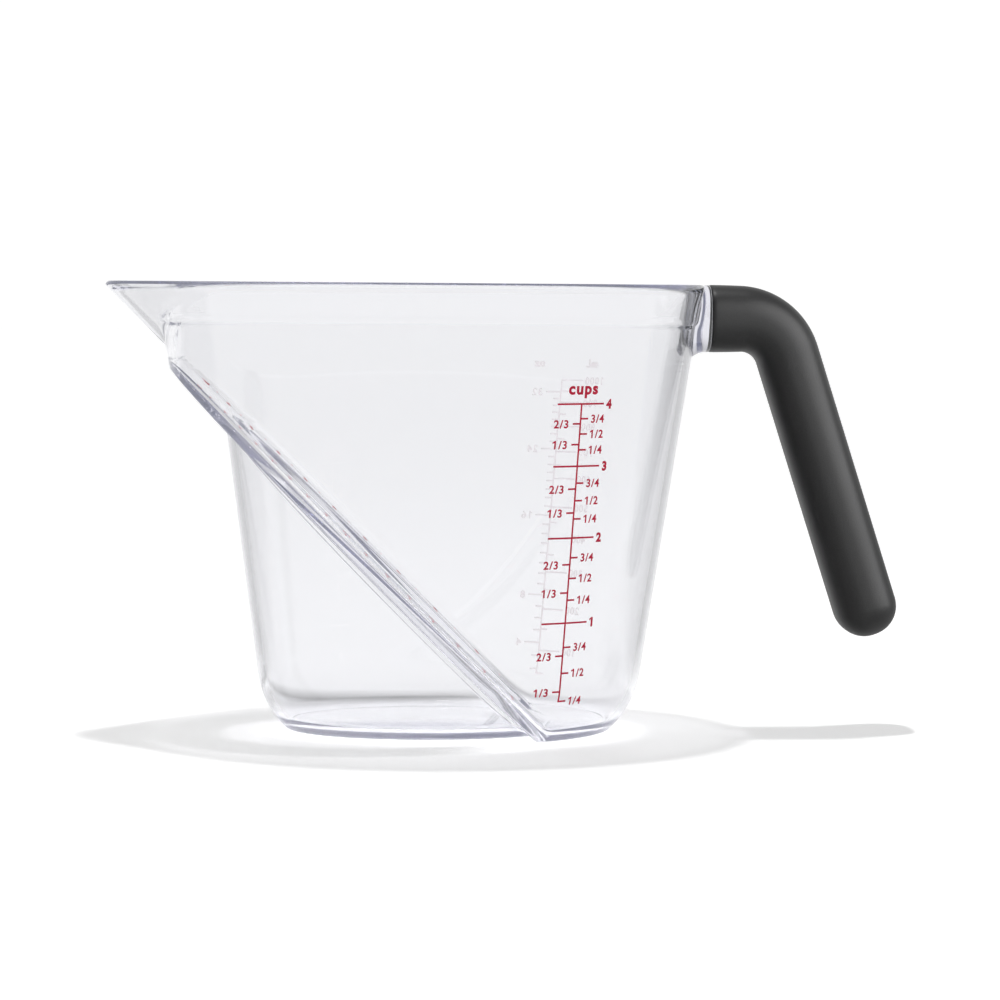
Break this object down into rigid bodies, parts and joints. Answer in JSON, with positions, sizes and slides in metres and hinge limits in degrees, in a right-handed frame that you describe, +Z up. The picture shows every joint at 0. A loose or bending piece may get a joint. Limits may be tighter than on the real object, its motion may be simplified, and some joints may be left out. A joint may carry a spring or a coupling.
{
  "type": "angled measuring cup",
  "caption": "Clear oval measuring jug with a sloping inner ledge scale read from above, a beak spout and a soft grip sleeve on its bent handle.",
  "frame": {"origin": "where the upright axis of the oval bowl meets the table, in the plane of the base", "axes": "+Z up along the bowl's axis, +X towards the handle, -X towards the spout, XZ is the plane of symmetry"},
  "size_m": [0.25, 0.1292, 0.1405],
  "materials": {
    "clear_plastic": "clear, polished moulding",
    "soft_grip": "matte black, fine moulded grain",
    "scale_print": "crimson screen print"
  },
  "bodies": {
    "root": {"cup_body": "clear_plastic", "grip": "soft_grip"}
  },
  "joints": []
}
